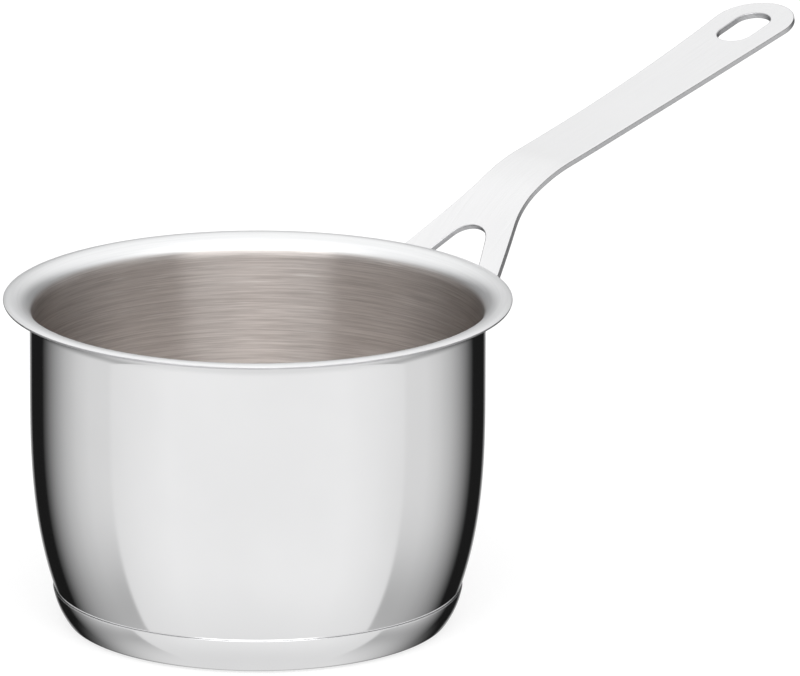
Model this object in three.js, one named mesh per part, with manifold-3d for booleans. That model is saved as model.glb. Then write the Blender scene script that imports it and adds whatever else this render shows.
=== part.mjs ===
// Stainless steel saucepan: a deep-drawn vessel with a rolled pouring rim, a three-layer base under it and a
// forked plate handle that is spot welded to the wall. Millimetres, +Z up. The origin is the centre of the
// underside, and the handle points along +X.
import * as THREE from 'three';
import { mergeVertices } from 'three/addons/utils/BufferGeometryUtils.js';
import Module from 'manifold-3d';

const wasm = await Module();
wasm.setup();

// Vessel
const INSIDE_DIAMETER = 140;
const WALL = 0.8;
const PAN_HEIGHT = 103.9;
const RIM_ROLL_RADIUS = 6.65;
const RIM_DROOP = THREE.MathUtils.degToRad(22);
const BELLY_DROP = 25.9;
const BELLY_INSET = 7.5;

// Base: steel cap, braze, aluminium core, braze, vessel floor
const CAP_SHEET = 0.5;
const CAP_HEIGHT = 11.4;
const CAP_SPREAD = 6.4;
const CAP_CORNER_RUN = 1.5;
const CAP_CORNER_RISE = 0.7;
const CAP_BULGE = 0.75;
const BRAZE = 0.25;
const BRAZE_MARGIN = 1;
const CORE_THICKNESS = 4.6;
const CORE_LIP_DROP = 2.8;
const LAYER_CLEARANCE = 0.3;

// Handle: a bent steel plate, followed from the foot of its weld tabs to the hanging end
const PLATE = 2;
const PLATE_EDGE = 0.35;
const TAB_CLEARANCE = 0.3;
const JOIN_DROP = 28.1;
const TAB_LENGTH = 18;
const TAB_BEND_RADIUS = 7;
const LEG_LENGTH = 48;
const LEG_SLOPE = THREE.MathUtils.degToRad(36.3);
const SHOULDER_RADIUS = 72;
const GRIP_SLOPE = THREE.MathUtils.degToRad(9.8);
const GRIP_LENGTH = 110.5;
const TIP_SLOPE = THREE.MathUtils.degToRad(13.2);
const CROSS_CURVE_RUN = 18;
const WAIST_WIDTH = 21.7;
const TIP_WIDTH = 27.7;
const TIP_TAPER_LENGTH = 90;
const TIP_TAPER_POWER = 1.85;
const FLARE_START = 15.8;
const FLARE_ROUNDING = 16.7;
const FLARE_SPREAD = 0.376;
const FORK_APEX_DROP = 4.6;
const FORK_APEX_RADIUS = 7.3;
const FORK_SPREAD = 0.421;
const SLOT_WIDTH = 12;
const SLOT_LENGTH = 20.6;
const SLOT_SETBACK = 4.3;

// Spot welds: slugs of fused metal through each tab
const WELD_DIAMETER = 4.4;
const WELD_CLEARANCE = 0.3;
const WELD_FOOT = 5;
const WELD_PITCH = 8;

// Fineness of the curves
const TURN_STEPS = 60;
const CORNER_STEPS = 7;
const BELLY_STEPS = 9;
const ROLL_STEPS = 9;
const PLATE_COLUMNS = 10;
const ROUND_STEPS = 6;
const TAB_BEND_STEPS = 5;
const LEG_STEPS = 5;
const SHOULDER_STEPS = 12;
const GRIP_STEPS = 9;
const WELD_STEPS = 16;
const CUT_MARGIN = 1;

// Sizes that follow from the ones above
const insideRadius = INSIDE_DIAMETER / 2;
const wallRadius = insideRadius + WALL;
const rollCentre = { r: insideRadius + RIM_ROLL_RADIUS, z: PAN_HEIGHT - RIM_ROLL_RADIUS };
const seamRadius = wallRadius - BELLY_INSET;
const coreBottom = CAP_SHEET + BRAZE;
const coreTop = coreBottom + CORE_THICKNESS;
const vesselBottom = coreTop + BRAZE;
const bellyTop = PAN_HEIGHT - BELLY_DROP;
const bellyRise = bellyTop - CAP_HEIGHT;
const bellyLean = Math.atan2(BELLY_INSET, bellyRise / 3);
const cornerTurn = Math.PI / 2 - bellyLean;
const cornerRadius = (CAP_HEIGHT - vesselBottom) / (1 - Math.cos(cornerTurn));
const floorRadius = seamRadius - cornerRadius * Math.sin(cornerTurn);
const cornerCentre = { r: floorRadius, z: vesselBottom + cornerRadius };
const capTopRadius = seamRadius + LAYER_CLEARANCE + CAP_SHEET;
const capFlatRadius = capTopRadius - CAP_SPREAD;

const steel = (colour, roughness) => new THREE.MeshStandardMaterial({ color: colour, roughness, metalness: 1 });

function named(name, geometry, material) {
  const mesh = new THREE.Mesh(geometry, material);
  mesh.name = name;
  return mesh;
}

// Lengths or angles from one value to another in equal steps, both ends included
const evenly = (from, to, steps) => Array.from({ length: steps + 1 }, (_, i) => from + ((to - from) * i) / steps);

// Points of a closed half section in the (radius, height) plane, turned about the Z axis
function turned(points) {
  const lathe = new THREE.LatheGeometry(points, TURN_STEPS);
  return lathe.rotateX(Math.PI / 2);
}

function arcPoints(centre, radius, from, to, steps) {
  const place = (a) => new THREE.Vector2(centre.r + radius * Math.cos(a), centre.z + radius * Math.sin(a));
  return evenly(from, to, steps).map(place);
}

// One face of the vessel's sheet, from the middle of the floor up to the cut edge of the rim. The inset is 0 on
// the outer face and the wall thickness on the inner one.
function vesselFace(inset) {
  const corner = arcPoints(cornerCentre, cornerRadius - inset, -Math.PI / 2, -bellyLean, CORNER_STEPS);
  const seam = corner[CORNER_STEPS];
  const wall = wallRadius - inset;
  const belly = new THREE.CubicBezierCurve(
    seam,
    new THREE.Vector2(wall, seam.y + (wall - seam.x) / Math.tan(bellyLean)),
    new THREE.Vector2(wall, bellyTop - bellyRise / 3),
    new THREE.Vector2(wall, bellyTop),
  );
  const rollRadius = RIM_ROLL_RADIUS - WALL + inset;
  const roll = arcPoints(rollCentre, rollRadius, Math.PI, Math.PI / 2 - RIM_DROOP, ROLL_STEPS);
  const middle = new THREE.Vector2(0, vesselBottom + inset);
  return [middle, ...corner, ...belly.getPoints(BELLY_STEPS).slice(1), ...roll];
}

function vessel() {
  const section = [...vesselFace(0), ...vesselFace(WALL).reverse()];
  return named('pan_body', turned(section), steel(0xc9cacc, 0.12));
}

// Side of the base cap at a given depth inside its outer face, from the bottom corner up to its top edge
function capSide(inset, steps) {
  const foot = new THREE.Vector2(capFlatRadius + CAP_CORNER_RUN - inset, CAP_CORNER_RISE + inset);
  const top = new THREE.Vector2(capTopRadius - inset, CAP_HEIGHT);
  const belly = foot.clone().add(top).multiplyScalar(0.5);
  belly.x += 2 * CAP_BULGE;
  return new THREE.QuadraticBezierCurve(foot, belly, top).getPoints(steps);
}

function baseCap() {
  const outer = capSide(0, CORNER_STEPS);
  const inner = capSide(CAP_SHEET, CORNER_STEPS).reverse();
  const section = [
    new THREE.Vector2(0, 0),
    new THREE.Vector2(capFlatRadius, 0),
    ...outer,
    ...inner,
    new THREE.Vector2(capFlatRadius - CAP_SHEET, CAP_SHEET),
    new THREE.Vector2(0, CAP_SHEET),
  ];
  return named('base_cap', turned(section), steel(0xc4c5c7, 0.15));
}

// Aluminium core: pressed into the cap, it fills the space up to the vessel's rounded corner
function heatSpreader() {
  const reach = CAP_SHEET + LAYER_CLEARANCE;
  const lipHeight = CAP_HEIGHT - CORE_LIP_DROP;
  const side = capSide(reach, CORNER_STEPS).filter((p) => p.y > coreBottom && p.y < lipHeight);
  const hollowRadius = cornerRadius + LAYER_CLEARANCE;
  const lipAngle = Math.asin((lipHeight - cornerCentre.z) / hollowRadius);
  const footAngle = Math.asin((coreTop - cornerCentre.z) / hollowRadius);
  const cornerFace = arcPoints(cornerCentre, hollowRadius, lipAngle, footAngle, CORNER_STEPS);
  const section = [
    new THREE.Vector2(0, coreBottom),
    new THREE.Vector2(capFlatRadius - reach, coreBottom),
    ...side,
    ...cornerFace,
    new THREE.Vector2(0, coreTop),
  ];
  return named('heat_spreader', turned(section), steel(0xb9bcc0, 0.45));
}

// Flat brazed joint between two layers of the base
function brazeLayer(name, bottom, radius) {
  const section = [
    new THREE.Vector2(0, bottom),
    new THREE.Vector2(radius, bottom),
    new THREE.Vector2(radius, bottom + BRAZE),
    new THREE.Vector2(0, bottom + BRAZE),
  ];
  return named(name, turned(section), steel(0xa8a49a, 0.6));
}

// Side view of the handle as runs of [length, change of heading], from the foot of the tabs to the tip's centre.
// The line is the face that lies against the wall and becomes the top of the grip.
const tabRadius = wallRadius + TAB_CLEARANCE;
const tabTurn = LEG_SLOPE - Math.PI / 2;
const shoulderTurn = GRIP_SLOPE - LEG_SLOPE;
const tabBendLength = TAB_BEND_RADIUS * Math.abs(tabTurn);
const shoulderLength = SHOULDER_RADIUS * Math.abs(shoulderTurn);
const sideRuns = [
  [TAB_LENGTH, 0],
  [tabBendLength, tabTurn],
  [LEG_LENGTH, 0],
  [shoulderLength, shoulderTurn],
  [GRIP_LENGTH, TIP_SLOPE - GRIP_SLOPE],
];
const tabBendReach = TAB_BEND_RADIUS * Math.tan(Math.abs(tabTurn) / 2);
const tabFoot = PAN_HEIGHT - JOIN_DROP - tabBendReach - TAB_LENGTH;
const legStart = TAB_LENGTH + tabBendLength;
const legEnd = legStart + LEG_LENGTH;
const gripStart = legEnd + shoulderLength;
const tipCentre = gripStart + GRIP_LENGTH;

// Place and heading on the side view after following it for a distance
function alongSide(distance) {
  const at = { x: tabRadius, z: tabFoot, heading: Math.PI / 2 };
  let left = distance;
  for (const [length, turn] of sideRuns) {
    const run = Math.min(left, length);
    const radius = length / turn;
    const next = at.heading + (turn === 0 ? 0 : run / radius);
    at.x += turn === 0 ? run * Math.cos(next) : radius * (Math.sin(next) - Math.sin(at.heading));
    at.z += turn === 0 ? run * Math.sin(next) : radius * (Math.cos(at.heading) - Math.cos(next));
    at.heading = next;
    left -= run;
    if (left <= 0) return at;
  }
  at.x += left * Math.cos(at.heading);
  at.z += left * Math.sin(at.heading);
  return at;
}

// A point of the plate: distance along the side view, distance across, depth under the top face. The tabs and
// legs are curved across to the wall's own radius, and this curve runs out in the shoulder.
function onPlate(distance, across, depth) {
  const at = alongSide(distance);
  const down = { x: Math.sin(at.heading), z: -Math.cos(at.heading) };
  const curve = 1 - THREE.MathUtils.smoothstep(distance, legEnd, legEnd + CROSS_CURVE_RUN);
  if (curve < 1e-6) return [at.x + depth * down.x, across, at.z + depth * down.z];
  const radius = tabRadius / curve;
  const angle = across / radius;
  const reach = depth * down.x;
  return [
    at.x - radius + (radius + reach) * Math.cos(angle),
    (radius + reach) * Math.sin(angle),
    at.z + depth * down.z,
  ];
}

// Half width of the plate above the tabs
function outerHalf(distance) {
  const flare = Math.max(0, legEnd + FLARE_START - distance);
  const rounded = Math.min(flare, FLARE_ROUNDING);
  const spread = FLARE_SPREAD * ((rounded * rounded) / (2 * FLARE_ROUNDING) + flare - rounded);
  const widening = Math.max(0, 1 - (tipCentre - distance) / TIP_TAPER_LENGTH) ** TIP_TAPER_POWER;
  return WAIST_WIDTH / 2 + spread + ((TIP_WIDTH - WAIST_WIDTH) / 2) * widening;
}

// Half width of the gap between the legs, below its rounded top
const forkLean = Math.atan(FORK_SPREAD);
const forkApex = legEnd - FORK_APEX_DROP;
const forkCentre = forkApex - FORK_APEX_RADIUS;
const forkHalf = (distance) => FORK_APEX_RADIUS / Math.cos(forkLean) + (forkCentre - distance) * FORK_SPREAD;

const tabOuter = outerHalf(legStart);
const tabInner = forkHalf(legStart);
const tabMiddle = (tabOuter + tabInner) / 2;
const tabEndRadius = (tabOuter - tabInner) / 2;

// Angles of a quarter turn that start half a step in, so that a round end closes with one short flat
const quarterTurn = evenly(1, 2 * ROUND_STEPS + 1, ROUND_STEPS).map((i) => (i * Math.PI) / (4 * ROUND_STEPS + 2));
const farQuarterTurn = quarterTurn.map((a) => Math.PI - a).reverse();

// An outline is a list of stations. Each one takes an inset from the true edge and gives a distance along the
// plate and a half width. An edge is straight, a bow is a round end, and a hollow is a round end seen from the
// gap beside it.
const edge = (distance, half) => (inset) => [distance, half - inset];
const bow = (centre, radius, angle, middle = 0) => (inset) => [
  centre - (radius - inset) * Math.cos(angle),
  middle + (radius - inset) * Math.sin(angle),
];
const hollow = (centre, radius, angle, middle) => (inset) => [
  centre - (radius + inset) * Math.cos(angle),
  middle - (radius + inset) * Math.sin(angle),
];

const tabBend = evenly(TAB_LENGTH, legStart, TAB_BEND_STEPS);
const leg = evenly(legStart, legEnd, LEG_STEPS).slice(1);
const shoulder = evenly(legEnd, gripStart, SHOULDER_STEPS).slice(1);
const grip = evenly(gripStart, tipCentre, GRIP_STEPS).slice(1, -1);

const plateOutline = [
  ...quarterTurn.map((angle) => bow(tabEndRadius, tabEndRadius, angle, tabMiddle)),
  ...tabBend.map((distance) => edge(distance, tabOuter)),
  ...[...leg, ...shoulder, ...grip].map((distance) => edge(distance, outerHalf(distance))),
  ...farQuarterTurn.map((angle) => bow(tipCentre, TIP_WIDTH / 2, angle)),
];

const forkTop = evenly(Math.PI / 2 + forkLean, Math.PI - quarterTurn[0], ROUND_STEPS);
const forkLeg = evenly(legStart, forkCentre, LEG_STEPS).slice(1);
const forkOutline = [
  (inset) => [-CUT_MARGIN, hollow(0, tabEndRadius, quarterTurn[0], tabMiddle)(inset)[1]],
  ...quarterTurn.map((angle) => hollow(tabEndRadius, tabEndRadius, angle, tabMiddle)),
  ...tabBend.map((distance) => edge(distance, tabInner)),
  ...forkLeg.map((distance) => edge(distance, forkHalf(distance))),
  ...forkTop.map((angle) => bow(forkCentre, FORK_APEX_RADIUS, angle)),
];

const slotRadius = SLOT_WIDTH / 2;
const slotRun = SLOT_LENGTH / 2 - slotRadius;
const slotCentre = tipCentre - SLOT_SETBACK;
const slotOutline = [
  ...quarterTurn.map((angle) => bow(slotCentre - slotRun, slotRadius, angle)),
  ...farQuarterTurn.map((angle) => bow(slotCentre + slotRun, slotRadius, angle)),
];

// Edge of the plate and of the openings cut in it, from the top face down, as an inset and a depth. Both have
// the same small bevels, and a cutter carries its bevels on past the faces.
const plateEdge = [
  { inset: PLATE_EDGE, depth: 0 },
  { inset: 0, depth: PLATE_EDGE },
  { inset: 0, depth: PLATE - PLATE_EDGE },
  { inset: PLATE_EDGE, depth: PLATE },
];
const cutterEdge = [
  { inset: -PLATE_EDGE - CUT_MARGIN, depth: -CUT_MARGIN },
  { inset: 0, depth: PLATE_EDGE },
  { inset: 0, depth: PLATE - PLATE_EDGE },
  { inset: -PLATE_EDGE - CUT_MARGIN, depth: PLATE + CUT_MARGIN },
];

// Cross section at one station: along the top face, round one edge, back along the underside, round the other
function crossSection(station, [top, upper, lower, bottom]) {
  const row = ({ inset, depth }, sides) => {
    const [distance, half] = station(inset);
    return sides.map((side) => onPlate(distance, side * half, depth));
  };
  const across = evenly(-1, 1, PLATE_COLUMNS);
  const back = across.toReversed();
  return [
    ...row(upper, [-1]),
    ...row(top, across),
    ...row(upper, [1]),
    ...row(lower, [1]),
    ...row(bottom, back),
    ...row(lower, [-1]),
  ];
}

// Closed solid through a row of cross sections. Each end is closed by joining the top points to the bottom ones.
function loft(outline, edgeLevels) {
  const rings = outline.map((station) => crossSection(station, edgeLevels));
  const count = rings[0].length;
  const index = [];
  const quad = (a, b, c, d) => index.push(a, b, c, a, c, d);
  for (let j = 0; j + 1 < rings.length; j += 1) {
    for (let k = 0; k < count; k += 1) {
      const next = (k + 1) % count;
      quad(j * count + k, (j + 1) * count + k, (j + 1) * count + next, j * count + next);
    }
  }
  const last = (rings.length - 1) * count;
  for (let k = 0; k + 1 < count / 2; k += 1) {
    quad(k, k + 1, count - 2 - k, count - 1 - k);
    quad(last + k, last + count - 1 - k, last + count - 2 - k, last + k + 1);
  }
  const geometry = new THREE.BufferGeometry();
  geometry.setAttribute('position', new THREE.Float32BufferAttribute(rings.flat(2), 3));
  geometry.setIndex(index);
  return geometry;
}

function solidOf(geometry) {
  const bare = geometry.clone();
  bare.deleteAttribute('normal');
  bare.deleteAttribute('uv');
  const merged = mergeVertices(bare);
  const vertProperties = new Float32Array(merged.attributes.position.array);
  const triVerts = new Uint32Array(merged.index.array);
  return new wasm.Manifold(new wasm.Mesh({ numProp: 3, vertProperties, triVerts }));
}

function geometryOf(solid) {
  const { vertProperties, triVerts } = solid.getMesh();
  const geometry = new THREE.BufferGeometry();
  geometry.setAttribute('position', new THREE.BufferAttribute(vertProperties, 3));
  geometry.setIndex(new THREE.BufferAttribute(triVerts, 1));
  geometry.computeVertexNormals();
  return geometry;
}

// Round slug through a tab, square to the wall, at a height above the tab's foot and on one side of the handle
function weldSlug(radius, margin, height, side) {
  const slug = new THREE.CylinderGeometry(radius, radius, PLATE + 2 * margin, WELD_STEPS);
  slug.rotateZ(-Math.PI / 2);
  slug.translate(tabRadius + PLATE / 2, 0, tabFoot + height);
  return slug.rotateZ((side * tabMiddle) / tabRadius);
}

const welds = [
  { name: 'left_lower', side: 1, height: WELD_FOOT },
  { name: 'left_upper', side: 1, height: WELD_FOOT + WELD_PITCH },
  { name: 'right_lower', side: -1, height: WELD_FOOT },
  { name: 'right_upper', side: -1, height: WELD_FOOT + WELD_PITCH },
];

function handle() {
  const holes = welds.map(({ side, height }) =>
    weldSlug(WELD_DIAMETER / 2 + WELD_CLEARANCE, CUT_MARGIN, height, side));
  const cutters = [loft(forkOutline, cutterEdge), loft(slotOutline, cutterEdge), ...holes];
  const blank = solidOf(loft(plateOutline, plateEdge));
  const plate = cutters.reduce((body, cutter) => body.subtract(solidOf(cutter)), blank);
  return named('handle', geometryOf(plate), steel(0xd2d3d5, 0.22));
}

function spotWeld({ name, side, height }) {
  return named(`spot_weld_${name}`, weldSlug(WELD_DIAMETER / 2, 0, height, side), steel(0xb4b2ae, 0.5));
}

const saucepan = new THREE.Group();
saucepan.add(vessel(), baseCap(), heatSpreader());
saucepan.add(brazeLayer('upper_braze', coreTop, floorRadius - BRAZE_MARGIN));
saucepan.add(brazeLayer('lower_braze', CAP_SHEET, capFlatRadius - CAP_SHEET - LAYER_CLEARANCE - BRAZE_MARGIN));
saucepan.add(handle(), ...welds.map(spotWeld));

export default saucepan;
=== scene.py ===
"""Looks of a stainless steel saucepan with a capped base and a forked plate handle. Sizes are in millimetres,
and every mesh is put into the frame in metres."""
import math

import bmesh
import bpy
import numpy as np
from mathutils import Matrix


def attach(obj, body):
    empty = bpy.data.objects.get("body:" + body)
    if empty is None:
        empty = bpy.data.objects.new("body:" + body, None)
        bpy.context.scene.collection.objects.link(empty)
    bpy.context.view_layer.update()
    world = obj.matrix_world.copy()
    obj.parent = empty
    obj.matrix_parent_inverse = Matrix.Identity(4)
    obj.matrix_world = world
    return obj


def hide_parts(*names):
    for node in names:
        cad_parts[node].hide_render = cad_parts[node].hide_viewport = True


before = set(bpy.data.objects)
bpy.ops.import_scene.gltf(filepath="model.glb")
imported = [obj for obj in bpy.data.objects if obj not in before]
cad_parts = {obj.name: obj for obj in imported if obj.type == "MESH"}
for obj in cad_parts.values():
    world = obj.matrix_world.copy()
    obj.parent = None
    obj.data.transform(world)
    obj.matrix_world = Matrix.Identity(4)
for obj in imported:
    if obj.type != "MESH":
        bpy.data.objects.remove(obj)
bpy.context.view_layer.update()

MM = 0.001
QUARTER = math.pi / 2

# Vessel
INSIDE_RADIUS = 70.0
WALL = 0.8
WALL_RADIUS = INSIDE_RADIUS + WALL
PAN_HEIGHT = 103.9
ROLL_RADIUS = 6.65
ROLL_END = 68.0
ROLL_CENTRE = np.array([INSIDE_RADIUS + ROLL_RADIUS, PAN_HEIGHT - ROLL_RADIUS])
BELLY_TOP = 78.0
BELLY_INSET = 7.5
RIM_ROUNDING = 0.22
LIP_START = 98.8
LIP_END = 101.0
TURN_STEPS = 240

# Base
VESSEL_BOTTOM = 5.6
CAP_HEIGHT = 11.4
CAP_SHEET = 0.5
CAP_FLAT = 57.7
CAP_FOOT = np.array([59.2, 0.7])
CAP_TOP_RADIUS = 63.8
CAP_BULGE = 0.75
CAP_ROUNDING = 0.14
CAP_CORNER_START = 56.6
CAP_CORNER_PULL = 58.68
CAP_CORNER_SHARE = 0.05
HOLLOW_RADIUS = 52.0
HOLLOW_DEPTH = 0.2
SEAM_GAP = 0.03
BELLY_RISE = BELLY_TOP - CAP_HEIGHT
BELLY_LEAN = math.atan2(BELLY_INSET, BELLY_RISE / 3)
SEAM_RADIUS = WALL_RADIUS - BELLY_INSET
CORNER_RADIUS = (CAP_HEIGHT - VESSEL_BOTTOM) / (1 - math.sin(BELLY_LEAN))
FLOOR_RADIUS = SEAM_RADIUS - CORNER_RADIUS * math.cos(BELLY_LEAN)
CORNER_CENTRE = np.array([FLOOR_RADIUS, VESSEL_BOTTOM + CORNER_RADIUS])

# Handle's side line: tab, bend, leg, shoulder, grip and tip
PLATE = 2.0
PLATE_ROUNDING = 0.38
TAB_GAP = 0.3
TAB_RADIUS = WALL_RADIUS + TAB_GAP
LEG_SLOPE = math.radians(36.3)
GRIP_SLOPE = math.radians(9.8)
TIP_SLOPE = math.radians(13.2)
TAB_LENGTH = 18.0
TAB_BEND_RADIUS = 7.0
TAB_BEND_TURN = QUARTER - LEG_SLOPE
TAB_BEND = TAB_BEND_RADIUS * TAB_BEND_TURN
LEG_LENGTH = 48.0
LEG_DROP = 28.1
SHOULDER_RADIUS = 72.0
SHOULDER = SHOULDER_RADIUS * (LEG_SLOPE - GRIP_SLOPE)
GRIP_LENGTH = 110.5
TAB_FOOT = PAN_HEIGHT - LEG_DROP - TAB_BEND_RADIUS * math.tan(TAB_BEND_TURN / 2) - TAB_LENGTH
LEG_START = TAB_LENGTH + TAB_BEND
LEG_END = LEG_START + LEG_LENGTH
TIP_CENTRE = LEG_END + SHOULDER + GRIP_LENGTH
BEND_FADE = 18.0

# Handle's outline, fork and slot
LEG_ROUNDING = 3.0
GRIP_HALF = 10.85
FLARE_END = LEG_END + 15.8
FLARE_ROUNDING = 16.7
FLARE_RATE = 0.376
TIP_RADIUS = 13.74
TIP_RUN = 90.0
TIP_POWER = 1.85
FORK_RADIUS = 7.3
FORK_SPREAD = 0.421
FORK_LEAN = math.atan(FORK_SPREAD)
FORK_BRIDGE = 4.6
FORK_CENTRE = LEG_END - FORK_BRIDGE - FORK_RADIUS
SLOT_RADIUS = 6.0
SLOT_RUN = 4.3
SLOT_CENTRE = TIP_CENTRE - SLOT_RUN

# Spot welds
WELD_HEIGHTS = (5.0, 13.0)
WELD_RADIUS = 2.5
WELD_DEPTH = 1.6
WELD_RING_RADIUS = 2.1
WELD_RING_WIDTH = 0.22
WELD_RING_LIFT = 0.07
WELD_DENT_RADIUS = 1.35
WELD_DENT_DEPTH = 0.12

# Photograph's view: turn of the camera about the pan's axis, its height angle and its distance from a point
# on the axis, then how far across and up from that point the camera looks
VIEW_TURN = math.radians(50.92)
VIEW_RISE = math.radians(16.13)
VIEW_DISTANCE = 5257.4
VIEW_HEIGHT = 52.57
VIEW_ACROSS = 44.24
VIEW_UP = 36.61
VIEW_LENS = 760.5
SENSOR_WIDTH = 36.0

RIGHT = np.array([math.cos(VIEW_TURN), -math.sin(VIEW_TURN), 0.0])
AWAY = np.array([math.sin(VIEW_TURN), math.cos(VIEW_TURN), 0.0])
UP = np.array([0.0, 0.0, 1.0])

# Studio: bearings to either side of the camera and heights above the horizon in degrees, and brightness
TABLE_ROUND = ((0, 0.985), (45, 0.985), (62, 0.93), (79, 0.86), (81.5, 0.80), (95, 0.78), (105, 0.69),
               (115, 0.54), (125, 0.34), (135, 0.12), (141, 0.012), (163, 0.012), (172, 0.45), (180, 0.6))
TABLE_BELOW = 0.86
TABLE_BELOW_HEIGHTS = (-70, -28)
CARD_EDGE = (78.5, 81.5)
CARD_SHADE = 0.55
CARD_SHADE_HEIGHTS = (-46, -18)
HORIZON = (-8, 2)
SKY = 1.08
PANEL_EDGE = (36, 45)
PANEL_FOOT = 0.7
PANEL_GLOW = 3.1
PANEL_GLOW_HEIGHTS = (12, 36)
PANEL_TOP_HEIGHTS = (50, 72)
CORNER_DARK = 0.05
CORNER_BEARINGS = (50, 112)
CORNER_HEIGHTS = (10, 16)
CORNER_FADE = 13
BACKDROP_EDGE = (154, 168)
BACKDROP_DARK = 0.12
BACKDROP_BRIGHT = 1.03
BACKDROP_HEIGHTS = (10, 29)

# Floor
FLOOR_REACH = 3000.0
FLOOR_DROP = 0.3
FLOOR_POINTS = 9
FLOOR_GLOW = 0.62

# Range of a noise value that a pattern's two colours span
NOISE_SPAN = (0.3, 0.7)


class Wire:
    """One output in a node tree. Arithmetic on it adds a Math node, and node() adds any other node."""

    def __init__(self, tree, output=None):
        self.tree = tree
        self.output = output

    def node(self, kind, settings=None, inputs=None, out=0):
        """Adds a node: its settings first, then values or wires on its sockets, by name or by number."""
        made = self.tree.nodes.new(kind)
        for key, value in (settings or {}).items():
            if key == "stops":
                elements = made.color_ramp.elements
                while len(elements) < len(value):
                    elements.new(0.5)
                for element, (place, colour) in zip(elements, value):
                    element.position = place
                    element.color = colour
            else:
                setattr(made, key, value)
        for key, value in (inputs or {}).items():
            if isinstance(value, Wire):
                self.tree.links.new(value.output, made.inputs[key])
            else:
                made.inputs[key].default_value = value
        return Wire(self.tree, made.outputs[out]) if len(made.outputs) else made

    def math(self, operation, *values):
        """Adds a Math node on values or wires."""
        return self.node("ShaderNodeMath", {"operation": operation}, dict(enumerate(values)))

    def __add__(self, other):
        return self.math("ADD", self, other)

    def __sub__(self, other):
        return self.math("SUBTRACT", self, other)

    def __rsub__(self, other):
        return self.math("SUBTRACT", other, self)

    def __mul__(self, other):
        return self.math("MULTIPLY", self, other)

    def __truediv__(self, other):
        return self.math("DIVIDE", self, other)

    def __rtruediv__(self, other):
        return self.math("DIVIDE", other, self)

    def __pow__(self, other):
        return self.math("POWER", self, other)

    def __rpow__(self, other):
        return self.math("POWER", other, self)

    __radd__ = __add__
    __rmul__ = __mul__

    def spread(self, low, high, to_low=0.0, to_high=1.0):
        """Smooth step of this value between two limits, carried over to another range."""
        inputs = {"Value": self, "From Min": low, "From Max": high, "To Min": to_low, "To Max": to_high}
        return self.node("ShaderNodeMapRange", {"interpolation_type": "SMOOTHSTEP"}, inputs)

    def mix(self, low, high):
        """Colour between two colours by this value."""
        return self.node("ShaderNodeMix", {"data_type": "RGBA"}, {0: self, 6: low, 7: high}, out=2)

    def pattern(self, dark, bright):
        """Colour between two colours by this noise value."""
        return self.spread(*NOISE_SPAN).mix(dark, bright)


def grey(value, blue=0.0):
    """Colour of a grey, cooler by a little more blue if asked."""
    return value, value, value + blue, 1.0


def vector(x, y, z):
    """Vector from three wires."""
    return x.node("ShaderNodeCombineXYZ", None, {0: x, 1: y, 2: z})


def split(place):
    """The x, y and z of a vector."""
    return [place.node("ShaderNodeSeparateXYZ", None, {0: place}, out=i) for i in range(3)]


def noise(at, scale, detail=2.0, roughness=0.5):
    """Noise value at a place."""
    return at.node("ShaderNodeTexNoise", None,
                   {"Vector": at, "Scale": scale, "Detail": detail, "Roughness": roughness})


def turned_noise(place, length, width, detail, roughness):
    """Noise in streaks that run round the pan's axis: x and y are stretched by the streaks' length, and their
    width is along the section, which the sum of radius and height follows."""
    x, y, z = split(place)
    section = (x * x + y * y) ** 0.5 + z
    streaks = vector(x / (length * MM), y / (length * MM), section / (width * MM))
    return noise(streaks, 1.0, detail, roughness)


def bump(height, strength, distance):
    """Normal tilted by a height value, for a distance in millimetres."""
    return height.node("ShaderNodeBump", None,
                       {"Height": height, "Strength": strength, "Distance": distance * MM})


def new_material(name):
    """Empty material, and the place on the object in metres that its patterns read."""
    material = bpy.data.materials.new(name)
    material.use_nodes = True
    material.node_tree.nodes.clear()
    return material, Wire(material.node_tree).node("ShaderNodeTexCoord", out=3)


def metal(colour, roughness, normal, constants=None):
    """Metal shader from the wires of its colour, roughness and normal, and constants for other sockets."""
    inputs = {"Base Color": colour, "Metallic": 1.0, "Roughness": roughness, "Normal": normal}
    return colour.node("ShaderNodeBsdfPrincipled", None, {**inputs, **(constants or {})})


def finished(material, shader):
    """The material with a shader on its surface."""
    shader.node("ShaderNodeOutputMaterial", None, {"Surface": shader})
    return material


def polished_steel(name, bright, dark, gloss):
    """Mirror polish: colour drifts a little over the sheet, and fine turned lines vary the gloss."""
    material, place = new_material(name)
    drift = noise(place, 22.0, detail=3.0)
    lines = turned_noise(place, length=60, width=0.6, detail=3.0, roughness=0.6)
    roughness = gloss + lines * 0.03 + drift * 0.02
    normal = bump(lines, strength=0.02, distance=0.02)
    return finished(material, metal(drift.pattern(dark, bright), roughness, normal))


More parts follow.
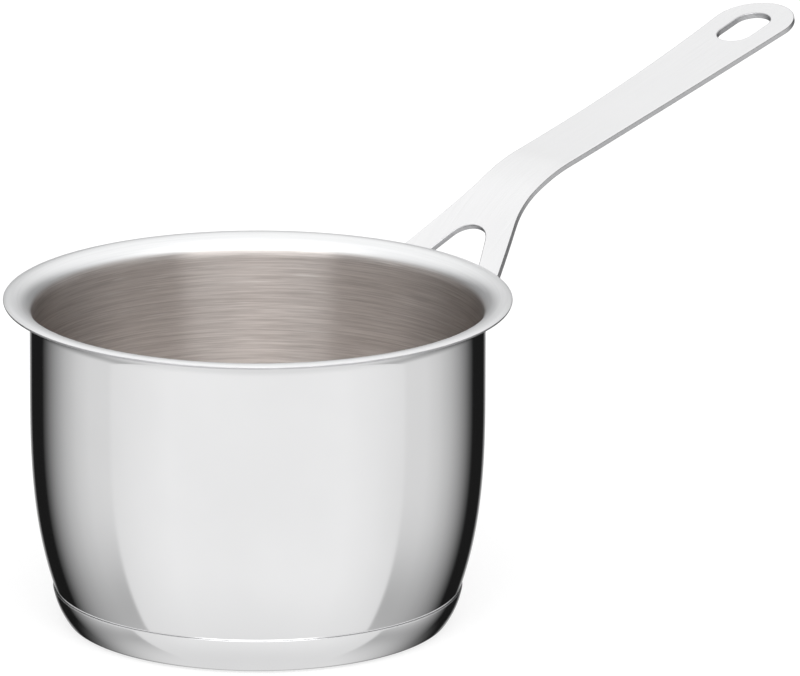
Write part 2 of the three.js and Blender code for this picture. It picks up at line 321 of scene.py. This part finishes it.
def inside_steel(name):
    """Brushed inside that turns into the satin lip: lines run round the pan, warm grey below, bright above.
    The brushed wall spreads its gloss across the lines, and the lip spreads it evenly."""
    material, place = new_material(name)
    fine = turned_noise(place, length=22, width=0.42, detail=3.0, roughness=0.7)
    broad = turned_noise(place, length=50, width=1.0, detail=3.0, roughness=0.6)
    scratch = turned_noise(place, length=20, width=0.6, detail=2.0, roughness=0.5).spread(0.62, 0.74)
    streaks = fine * 0.65 + broad * 0.35
    brushed = streaks.pattern(dark=(0.55, 0.51, 0.488, 1), bright=(0.78, 0.736, 0.708, 1))
    marked = (scratch * 0.5).mix(brushed, (0.86, 0.84, 0.82, 1))
    satin = broad.pattern(dark=(0.83, 0.835, 0.84, 1), bright=(0.88, 0.885, 0.89, 1))
    grain = bump(streaks, strength=0.45, distance=0.06)
    across_lines = {"Anisotropic": 1.0, "Anisotropic Rotation": 0.25}
    wall = metal(marked, 0.24 + streaks * 0.14, grain, across_lines)
    rolled = metal(satin, 0.38 + streaks * 0.08, grain)
    lip = split(place)[2].spread(LIP_START * MM, LIP_END * MM)
    return finished(material, lip.node("ShaderNodeMixShader", None, {0: lip, 1: wall, 2: rolled}))


def cut_steel(name, bright, dark):
    """Sheared and deburred edge: dull, with short streaks."""
    material, place = new_material(name)
    streaks = turned_noise(place, length=4, width=0.2, detail=3.0, roughness=0.6)
    normal = bump(streaks, strength=0.1, distance=0.03)
    return finished(material, metal(streaks.pattern(dark, bright), 0.34 + streaks * 0.14, normal))


def satin_plate(name, bright, dark):
    """Satin of the handle: fine lines along the plate over a soft drift of gloss."""
    material, place = new_material(name)
    line_length, line_width = 30 * MM, 0.3 * MM
    x, y, z = split(place)
    grain = noise(vector(x / line_length, y / line_width, z / line_length), 1.0, detail=3.0, roughness=0.6)
    drift = noise(place, 30.0, detail=3.0)
    colour = (grain * 0.6 + drift * 0.4).pattern(dark, bright)
    roughness = 0.17 + grain * 0.09 + drift * 0.05
    return finished(material, metal(colour, roughness, bump(grain, strength=0.05, distance=0.03)))


def weld_steel(name):
    """Spot weld: dull metal with a straw and blue heat tint in blotches."""
    material, place = new_material(name)
    straw, blue, bare = (0.55, 0.50, 0.43, 1), (0.50, 0.52, 0.58, 1), (0.66, 0.65, 0.63, 1)
    blotch = noise(place, 900.0, detail=3.0, roughness=0.6)
    tint = noise(place, 400.0, detail=1.0).spread(0.35, 0.65).mix(straw, blue)
    normal = bump(blotch, strength=0.2, distance=0.04)
    return finished(material, metal(blotch.pattern(tint, bare), 0.32 + blotch * 0.2, normal))


def pressed_metal(name, bright, dark, rough):
    """Pressed or brazed layer inside the base: matt, with fine grain and blotches."""
    material, place = new_material(name)
    grain = noise(place, 1800.0, detail=3.0, roughness=0.6)
    blotch = noise(place, 90.0, detail=3.0)
    colour = (grain * 0.5 + blotch * 0.5).pattern(dark, bright)
    return finished(material, metal(colour, rough + grain * 0.15, bump(grain, strength=0.15, distance=0.05)))


def pale_floor(name):
    """Plain pale floor: matt, with a very faint cloud and an even glow, as a light table has."""
    material, place = new_material(name)
    colour = noise(place, 1.5).pattern(grey(0.405), grey(0.42))
    return finished(material, colour.node("ShaderNodeBsdfPrincipled", None, {
        "Base Color": colour, "Roughness": 1.0, "Specular IOR Level": 0.0,
        "Emission Color": grey(1.0), "Emission Strength": FLOOR_GLOW}))


def arc(centre, radius, start, end, count):
    """Points of a circle about a centre, from one angle to another in degrees, in equal steps."""
    turn = np.radians(np.linspace(start, end, count))
    return np.column_stack([centre[0] + radius * np.cos(turn), centre[1] + radius * np.sin(turn)])


def bezier(points, count, start=0.0):
    """Bezier curve: each control point times its Bernstein weight, added up."""
    t = np.linspace(start, 1.0, count)[:, None]
    last = len(points) - 1
    weights = [math.comb(last, k) * t ** k * (1 - t) ** (last - k) for k in range(last + 1)]
    return sum(w * np.asarray(p, float) for w, p in zip(weights, points))


def line(start, end, count):
    """Points of a straight line in equal steps."""
    return np.linspace(start, end, count)


def vessel_face(inset):
    """Half section of one face of the vessel's sheet, from the middle of the floor to the rim's edge.

    A flat floor, an arc at the corner, a cubic belly that ends upright, a straight wall, and the rolled rim
    as an arc about the centre of the roll. The inset is 0 on the outer face and the sheet on the inner one."""
    bottom = VESSEL_BOTTOM + inset
    floor = line((0, bottom), (FLOOR_RADIUS, bottom), 16)
    corner = arc(CORNER_CENTRE, CORNER_RADIUS - inset, -90, -math.degrees(BELLY_LEAN), 20)
    seam = corner[-1]
    wall = WALL_RADIUS - inset
    belly = bezier([seam, (wall, seam[1] + (wall - seam[0]) / math.tan(BELLY_LEAN)),
                    (wall, BELLY_TOP - BELLY_RISE / 3), (wall, BELLY_TOP)], 32)
    straight = line((wall, BELLY_TOP), (wall, ROLL_CENTRE[1]), 6)
    radius = ROLL_RADIUS - WALL + inset
    roll = arc(ROLL_CENTRE, radius, 180, ROLL_END + math.degrees(RIM_ROUNDING / radius), 30)
    return np.vstack([floor, corner[1:], belly[1:], straight[1:], roll[1:]])


def rim_edge():
    """Cut edge of the rim, square to the sheet: a quarter circle, a short flat and a quarter circle."""
    out = np.array([math.cos(math.radians(ROLL_END)), math.sin(math.radians(ROLL_END))])
    along = np.array([out[1], -out[0]])
    turn = np.linspace(0, QUARTER, 5)[1:, None]
    top = ROLL_CENTRE + out * (ROLL_RADIUS - RIM_ROUNDING) - along * RIM_ROUNDING
    under = ROLL_CENTRE + out * (ROLL_RADIUS - WALL + RIM_ROUNDING) - along * RIM_ROUNDING
    first = top + RIM_ROUNDING * (out * np.cos(turn) + along * np.sin(turn))
    second = under + RIM_ROUNDING * (along * np.cos(turn) - out * np.sin(turn))
    return np.vstack([first, under + RIM_ROUNDING * along, second])


def cap_side(inset, count, start=0.0):
    """Side of the base cap: a quadratic curve from its foot to its top edge that bulges by a set amount."""
    foot = CAP_FOOT + np.array([-inset, inset])
    top = np.array([CAP_TOP_RADIUS - inset, CAP_HEIGHT - CAP_ROUNDING])
    middle = (foot + top) / 2 + np.array([2 * CAP_BULGE, 0])
    return bezier([foot, middle, top], count, start)


def cap_section():
    """Half section of the base cap: an underside that is hollow as a parabola, a rounded corner, the bulged
    side, a top edge of two quarter circles, and the inner faces back to the middle."""
    radius = np.linspace(0, HOLLOW_RADIUS, 22)
    hollow = np.column_stack([radius, HOLLOW_DEPTH * (1 - (radius / HOLLOW_RADIUS) ** 2)])
    side = cap_side(0, 30, CAP_CORNER_SHARE)
    corner = bezier([(CAP_CORNER_START, 0), (CAP_CORNER_PULL, 0), side[0]], 12)
    top = CAP_HEIGHT - CAP_ROUNDING
    outer_round = arc((CAP_TOP_RADIUS - CAP_ROUNDING, top), CAP_ROUNDING, 0, 90, 6)
    inner_round = arc((SEAM_RADIUS + SEAM_GAP + CAP_ROUNDING, top), CAP_ROUNDING, 90, 180, 6)
    inner = cap_side(CAP_SHEET, 16)[::-1]
    floor = line((CAP_FLAT - CAP_SHEET, CAP_SHEET), (0, CAP_SHEET), 8)
    return np.vstack([hollow, corner, side[1:], outer_round[1:], inner_round, inner[1:], floor])


def add_piece(name, points, faces, materials, face_materials=None, close=False):
    """Mesh object from points in millimetres and faces. To close it, doubles merge and normals turn out."""
    mesh = bpy.data.meshes.new(name)
    mesh.from_pydata((np.asarray(points) * MM).tolist(), [], faces)
    for material in materials:
        mesh.materials.append(material)
    if face_materials is not None:
        mesh.polygons.foreach_set("material_index", np.asarray(face_materials, dtype=np.int32))
    if close:
        shell = bmesh.new()
        shell.from_mesh(mesh)
        bmesh.ops.remove_doubles(shell, verts=shell.verts, dist=2e-6)
        bmesh.ops.recalc_face_normals(shell, faces=shell.faces)
        shell.to_mesh(mesh)
        shell.free()
    mesh.polygons.foreach_set("use_smooth", np.ones(len(mesh.polygons), dtype=bool))
    mesh.update()
    piece = bpy.data.objects.new(name, mesh)
    bpy.context.scene.collection.objects.link(piece)
    return piece


def grid_faces(rows, columns, first=0):
    """Quads of a grid of points that is stored row by row."""
    i, j = np.meshgrid(np.arange(rows - 1), np.arange(columns - 1), indexing="ij")
    a = first + i * columns + j
    return np.stack([a, a + columns, a + columns + 1, a + 1], axis=-1).reshape(-1, 4)


def turned_piece(name, section, materials, bands):
    """Surface of revolution: every point of the section, which starts and ends on the axis, goes round it in
    equal steps. The two ends close as fans of triangles. Bands give how many rows each material has."""
    rows = section[1:-1]
    steps = TURN_STEPS
    j = np.arange(steps)
    k = (j + 1) % steps
    turn = j * 2 * math.pi / steps
    ring = np.stack([rows[:, :1] * np.cos(turn), rows[:, :1] * np.sin(turn),
                     np.repeat(rows[:, 1:], steps, axis=1)], axis=-1).reshape(-1, 3)
    poles = np.array([[0, 0, section[0, 1]], [0, 0, section[-1, 1]]])
    i = np.arange(len(rows) - 1)[:, None] * steps
    quads = np.stack([i + j, i + steps + j, i + steps + k, i + k], axis=-1).reshape(-1, 4)
    last = (len(rows) - 1) * steps
    first_fan = np.stack([np.full(steps, len(ring)), j, k], axis=-1)
    last_fan = np.stack([last + j, np.full(steps, len(ring) + 1), last + k], axis=-1)
    row_material = np.repeat(np.arange(len(bands)), bands)
    face_material = np.repeat(np.append(row_material[1:-1], row_material[[0, -1]]), steps)
    faces = quads.tolist() + first_fan.tolist() + last_fan.tolist()
    return add_piece(name, np.vstack([ring, poles]), faces, materials, face_material)


def side_line(distance):
    """Place and heading on the handle's side view after following it for a distance: upright tab, bend,
    straight leg, long shoulder, slightly bent grip, then straight on. Each stretch turns evenly, so it is a
    chord as long as the arc times the sinc of half its turn."""
    x = np.full_like(distance, TAB_RADIUS)
    z = np.full_like(distance, TAB_FOOT)
    heading = np.full_like(distance, QUARTER)
    start = 0.0
    for length, turn in ((TAB_LENGTH, 0.0), (TAB_BEND, -TAB_BEND_TURN), (LEG_LENGTH, 0.0),
                         (SHOULDER, GRIP_SLOPE - LEG_SLOPE), (GRIP_LENGTH, TIP_SLOPE - GRIP_SLOPE)):
        run = np.clip(distance - start, 0, length)
        after = heading + turn * run / length
        half = (after - heading) / 2
        chord = run * np.sinc(half / math.pi)
        x = x + chord * np.cos(heading + half)
        z = z + chord * np.sin(heading + half)
        heading = after
        start += length
    beyond = np.maximum(distance - start, 0)
    return x + beyond * np.cos(heading), z + beyond * np.sin(heading), heading


def on_plate(distance, across, depth):
    """Point of the handle's plate. The side line gives place and heading, depth goes square to it, and across
    follows a circle of the tabs' radius on the tabs and legs, whose bend fades out over the shoulder."""
    x, z, heading = side_line(distance)
    fade = np.clip((distance - LEG_END) / BEND_FADE, 0, 1)
    bend = (1 - fade * fade * (3 - 2 * fade)) / TAB_RADIUS
    turn = bend * across
    sag = across * np.sin(turn / 2) * np.sinc(turn / 2 / math.pi)
    reach = depth * np.sin(heading)
    return np.stack([x - sag + reach * np.cos(turn),
                     across * np.sinc(turn / math.pi) + reach * np.sin(turn),
                     z - depth * np.cos(heading)], axis=-1)


def past_leg_start(distance):
    """How far past the leg's start, with the corner there rounded as a parabola over a run on both sides."""
    past = np.clip(distance - LEG_START + LEG_ROUNDING, 0, 2 * LEG_ROUNDING)
    return past * past / (4 * LEG_ROUNDING) + np.maximum(distance - LEG_START - LEG_ROUNDING, 0)


def outer_half(distance):
    """Half width of the plate: an even grip that flares over the legs, first as a parabola and then in a
    straight line, and that widens by a power towards the tip."""
    flare = np.maximum(0, FLARE_END - (LEG_START + past_leg_start(distance)))
    rounded = np.minimum(flare, FLARE_ROUNDING)
    spread = FLARE_RATE * (rounded * rounded / (2 * FLARE_ROUNDING) + flare - rounded)
    tip = np.clip(1 - (TIP_CENTRE - distance) / TIP_RUN, 0, 1) ** TIP_POWER
    return GRIP_HALF + spread + (TIP_RADIUS - GRIP_HALF) * tip


def fork_half(distance):
    """Half width of the gap between the legs: even between the tabs, then narrowing in a straight line."""
    beside_round = FORK_RADIUS / math.cos(FORK_LEAN)
    return beside_round + (FORK_CENTRE - LEG_START - past_leg_start(distance)) * FORK_SPREAD


TAB_OUTER = float(outer_half(np.array([0.0]))[0])
TAB_INNER = float(fork_half(np.array([0.0]))[0])
TAB_MIDDLE = (TAB_OUTER + TAB_INNER) / 2
TAB_END = (TAB_OUTER - TAB_INNER) / 2


def plate_edges(inset):
    """Inner and outer edge of half the plate, moved into the metal by an inset, as pairs of distance and half
    width, and the number of rows in each stretch.

    The rows pair up from the round foot of the tab, along the leg, round the top of the fork, along the grip,
    round the slot and out over the round tip, where both edges meet the middle line."""
    quarter = np.linspace(0, QUARTER, 15)
    foot = TAB_END - (TAB_END - inset) * np.cos(quarter)
    foot_half = (TAB_END - inset) * np.sin(quarter)
    fork = FORK_RADIUS + inset
    legs_end = FORK_CENTRE + fork * math.sin(FORK_LEAN)
    legs = np.concatenate([np.linspace(TAB_END, TAB_LENGTH, 6)[1:],
                           np.linspace(TAB_LENGTH, LEG_START, 14)[1:],
                           np.linspace(LEG_START, legs_end, 34)[1:]])
    leaning = np.clip((legs - LEG_START) / LEG_ROUNDING, 0, 1)
    legs_inset = inset * (leaning / math.cos(FORK_LEAN) + 1 - leaning)
    round_fork = np.linspace(QUARTER + FORK_LEAN, math.pi, 20)[1:]
    fork_top = FORK_CENTRE - fork * np.cos(round_fork)
    slot = SLOT_RADIUS + inset
    slot_start = SLOT_CENTRE - SLOT_RUN
    grip = np.linspace(fork_top[-1], slot_start - slot, 84)[1:]
    slot_round = slot_start - slot * np.cos(quarter[1:])
    slot_side = np.linspace(slot_start, SLOT_CENTRE + SLOT_RUN, 6)[1:]
    tip = np.linspace(0, QUARTER, 31)[1:]
    tip_radius = TIP_RADIUS - inset
    even = np.concatenate([legs, fork_top, grip, slot_round, slot_side])
    inner = np.concatenate([TAB_MIDDLE - foot_half, fork_half(legs) + legs_inset, fork * np.sin(round_fork),
                            np.zeros_like(grip), slot * np.sin(quarter[1:]), np.full_like(slot_side, slot),
                            slot * np.cos(tip)])
    outer = np.concatenate([TAB_MIDDLE + foot_half, outer_half(even) - inset, tip_radius * np.cos(tip)])
    inner_along = np.concatenate([foot, even, TIP_CENTRE + slot * np.sin(tip)])
    outer_along = np.concatenate([foot, even, TIP_CENTRE + tip_radius * np.sin(tip)])
    counts = [len(stretch) for stretch in (foot, legs, fork_top, grip, slot_round, slot_side, tip)]
    return np.column_stack([inner_along, inner]), np.column_stack([outer_along, outer]), counts


def handle_piece(materials):
    """Handle: on each half a top and an underside, ruled between the inner and outer edge, and edge strips
    that run over two quarter rounds and the flat between them. The other half is its mirror image. The second
    material goes on the flat of the outer strip and the round below it, the third on the punched edges of
    fork and slot."""
    shares = np.concatenate([[0, 0.006, 0.03], np.linspace(0.09, 0.91, 11), [0.97, 0.994, 1]])
    turn = np.linspace(0, QUARTER, 6)
    inset = PLATE_ROUNDING * (1 - np.sin(turn))
    depth = PLATE_ROUNDING * (1 - np.cos(turn))
    depths = np.concatenate([depth, PLATE - depth[::-1]])
    inner, outer, counts = plate_edges(PLATE_ROUNDING)
    face = inner[:, None, :] + (outer - inner)[:, None, :] * shares[None, :, None]
    blocks = [on_plate(face[..., 0], face[..., 1], np.full(face.shape[:2], level)) for level in (0.0, PLATE)]
    levels = [plate_edges(i) for i in np.concatenate([inset, inset[::-1]])]
    outer_strip = np.stack([level[1] for level in levels], axis=1)
    inner_strip = np.stack([level[0] for level in levels], axis=1)
    down = np.broadcast_to(depths, outer_strip.shape[:2])
    fork_rows = sum(counts[:3])
    slot_rows = sum(counts[:4]) - 1
    for strip in (outer_strip, inner_strip[:fork_rows], inner_strip[slot_rows:]):
        blocks.append(on_plate(strip[..., 0], strip[..., 1], down[:len(strip)]))
    plain = np.zeros(len(shares) - 1)
    below = np.arange(len(depths) - 1) >= len(turn) - 1
    punched_all = np.full(len(depths) - 1, 2)
    points, faces, finish, first = [], [], [], 0
    for block, band in zip(blocks, (plain, plain, below, punched_all, punched_all)):
        rows, across = block.shape[:2]
        for side in (1, -1):
            points.append((block * (1, side, 1)).reshape(-1, 3))
            faces.append(grid_faces(rows, across, first))
            finish.append(np.tile(band, rows - 1))
            first += rows * across
    return add_piece("handle_plate", np.vstack(points), np.vstack(faces).tolist(), materials,
                     np.concatenate(finish), close=True)


def weld_piece(name, side, height, material):
    """Spot weld: a round slug through the tab whose face has a raised ring round a pressed middle, both as
    bell curves of the radius. Radius and turn on the face are laid on the tab's own cylinder."""
    face = WELD_RADIUS * np.array([0, 0.2, 0.4, 0.56, 0.68, 0.78, 0.86, 0.92, 0.968, 1])
    ring = WELD_RING_LIFT * np.exp(-((face - WELD_RING_RADIUS) / WELD_RING_WIDTH) ** 2)
    dent = WELD_DENT_DEPTH * np.exp(-(face / WELD_DENT_RADIUS) ** 4)
    radius = np.concatenate([face, [WELD_RADIUS, 0]])
    lift = np.concatenate([ring - dent, [-WELD_DEPTH, -WELD_DEPTH]])
    turn = np.linspace(0, 2 * math.pi, 49)
    across = TAB_MIDDLE + radius[:, None] * np.cos(turn)
    up = TAB_FOOT + height + radius[:, None] * np.sin(turn)
    out = np.broadcast_to((TAB_RADIUS + PLATE + lift)[:, None], across.shape)
    angle = side * across / TAB_RADIUS
    points = np.stack([out * np.cos(angle), out * np.sin(angle), up], axis=-1)
    return add_piece(name, points.reshape(-1, 3), grid_faces(*across.shape).tolist(), [material], close=True)


def studio():
    """Soft white studio by direction. Above the horizon it is white, with a bright panel behind the camera,
    dark low corners at the sides and a dim foot to the backdrop. Below the horizon it is white in front, grey
    at the sides past the edge of a card and dark in a strip on each side behind, so that the polished wall
    shows its shape. The camera itself sees plain white."""
    world = bpy.data.worlds.new("soft_studio")
    world.use_nodes = True
    tree = world.node_tree
    tree.nodes.clear()
    direction = Wire(tree).node("ShaderNodeTexCoord", out=0)

    def along(axis):
        inputs = {0: direction, 1: tuple(axis)}
        return direction.node("ShaderNodeVectorMath", {"operation": "DOT_PRODUCT"}, inputs, out=1)

    front, right, up = along(-AWAY), along(RIGHT), along(UP)
    bearing = right.math("ARCTAN2", right, front)
    side = bearing.math("ABSOLUTE", bearing) * math.degrees(1)
    rise = up.math("ARCSINE", up) * math.degrees(1)

    stops = [(degrees / 180, grey(value)) for degrees, value in TABLE_ROUND]
    table_round = side.node("ShaderNodeValToRGB", {"stops": stops}, {0: side / 180})
    card_shade = side.spread(*CARD_EDGE) * rise.spread(*CARD_SHADE_HEIGHTS, CARD_SHADE, 0.0)
    shaded = (1 - card_shade).mix(grey(0.0), table_round)
    table = rise.spread(*TABLE_BELOW_HEIGHTS, 1.0, 0.0).mix(shaded, grey(TABLE_BELOW))

    dim = side.spread(*CORNER_BEARINGS, *CORNER_HEIGHTS)
    corner = rise.spread(dim, dim + CORNER_FADE).mix(grey(CORNER_DARK), grey(SKY))
    backdrop = rise.spread(*BACKDROP_HEIGHTS).mix(grey(BACKDROP_DARK), grey(BACKDROP_BRIGHT))
    glow = rise.spread(*PANEL_GLOW_HEIGHTS).mix(grey(PANEL_FOOT), grey(PANEL_GLOW))
    panel = rise.spread(*PANEL_TOP_HEIGHTS).mix(glow, grey(SKY))
    behind = side.spread(*BACKDROP_EDGE).mix(corner, backdrop)
    high = side.spread(*PANEL_EDGE).mix(panel, behind)
    sky = rise.spread(*HORIZON).mix(table, high)

    seen = Wire(tree).node("ShaderNodeLightPath", out=0)
    shown = seen.mix(sky, grey(1.0))
    light = shown.node("ShaderNodeBackground", None, {"Color": shown, "Strength": 1.0})
    light.node("ShaderNodeOutputWorld", None, {"Surface": light})
    bpy.context.scene.world = world


def add_floor():
    """Floor: a square grid just under the pan, left out of reflections, where the studio's table shows."""
    reach = np.linspace(-FLOOR_REACH, FLOOR_REACH, FLOOR_POINTS)
    x, y = np.meshgrid(reach, reach, indexing="ij")
    points = np.stack([x, y, np.full_like(x, -FLOOR_DROP)], axis=-1).reshape(-1, 3)
    faces = grid_faces(FLOOR_POINTS, FLOOR_POINTS).tolist()
    floor = add_piece("floor", points, faces, [pale_floor("pale_floor_paint")])
    floor.visible_glossy = False


def add_camera():
    """Camera at the photograph's angle: far away with a long lens, and turned a little across and up from the
    pan's axis to frame the pan and its handle."""
    axis_up = math.sin(VIEW_RISE) * AWAY + math.cos(VIEW_RISE) * UP
    axis_forward = math.cos(VIEW_RISE) * AWAY - math.sin(VIEW_RISE) * UP
    place = VIEW_HEIGHT * UP - VIEW_DISTANCE * axis_forward
    forward = axis_forward * VIEW_DISTANCE + VIEW_ACROSS * RIGHT + VIEW_UP * axis_up
    forward = forward / np.linalg.norm(forward)
    up = axis_up - (axis_up @ forward) * forward
    up = up / np.linalg.norm(up)
    right = np.cross(forward, up)
    camera = bpy.data.objects.new("photo_camera", bpy.data.cameras.new("photo_camera"))
    camera.data.sensor_fit = "HORIZONTAL"
    camera.data.sensor_width = SENSOR_WIDTH
    camera.data.lens = VIEW_LENS
    matrix = np.eye(4)
    matrix[:3] = np.column_stack([right, up, -forward, place * MM])
    camera.matrix_world = Matrix(matrix.tolist())
    bpy.context.scene.collection.objects.link(camera)
    bpy.context.scene.camera = camera


def put(piece, slot, *nodes):
    """Puts a piece on the pan in place of CAD nodes. The slot argument is not used."""
    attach(piece, "root")
    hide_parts(*nodes)


mirror = polished_steel("mirror_polished_wall", grey(0.84, 0.005), grey(0.81, 0.005), 0.05)
inside = inside_steel("brushed_inside_and_satin_lip")
sheared = cut_steel("sheared_rim_edge", grey(0.70, 0.01), grey(0.56, 0.01))
plate_cut = cut_steel("cut_edge_of_handle", grey(0.80, 0.01), grey(0.66, 0.01))
punched = cut_steel("punched_edge_of_handle", grey(0.58, 0.01), grey(0.44, 0.01))
cap_polish = polished_steel("polished_base_cap", grey(0.83, 0.005), grey(0.79, 0.005), 0.07)
satin = satin_plate("satin_handle", grey(0.86, 0.005), grey(0.81, 0.005))
weld = weld_steel("spot_weld_metal")

inner_face, edge, outer_face = vessel_face(WALL), rim_edge(), vessel_face(0.0)[::-1]
vessel_section = np.vstack([inner_face, edge, outer_face])
vessel_bands = [len(inner_face) - 1, len(edge) + 1, len(outer_face) - 1]
vessel = turned_piece("vessel", vessel_section, [inside, sheared, mirror], vessel_bands)
put(vessel, "polished_steel", "pan_body")

section = cap_section()[::-1]
cap = turned_piece("base_cap_skin", section, [cap_polish], [len(section) - 1])
put(cap, "cap_steel", "base_cap")

put(handle_piece([satin, plate_cut, punched]), "handle_steel", "handle")
for side, side_name in ((1, "left"), (-1, "right")):
    for height, level_name in zip(WELD_HEIGHTS, ("lower", "upper")):
        node = f"spot_weld_{side_name}_{level_name}"
        put(weld_piece(f"weld_{side_name}_{level_name}", side, height, weld), "weld_steel", node)

core = pressed_metal("pressed_aluminium_core", (0.78, 0.79, 0.80, 1), (0.68, 0.69, 0.70, 1), 0.35)
braze = pressed_metal("braze_layer", (0.70, 0.68, 0.63, 1), (0.58, 0.56, 0.52, 1), 0.5)
for node, layer in (("heat_spreader", core), ("upper_braze", braze), ("lower_braze", braze)):
    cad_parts[node].data.materials[0] = layer

studio()
add_floor()
add_camera()
bpy.context.scene.view_settings.view_transform = "Standard"
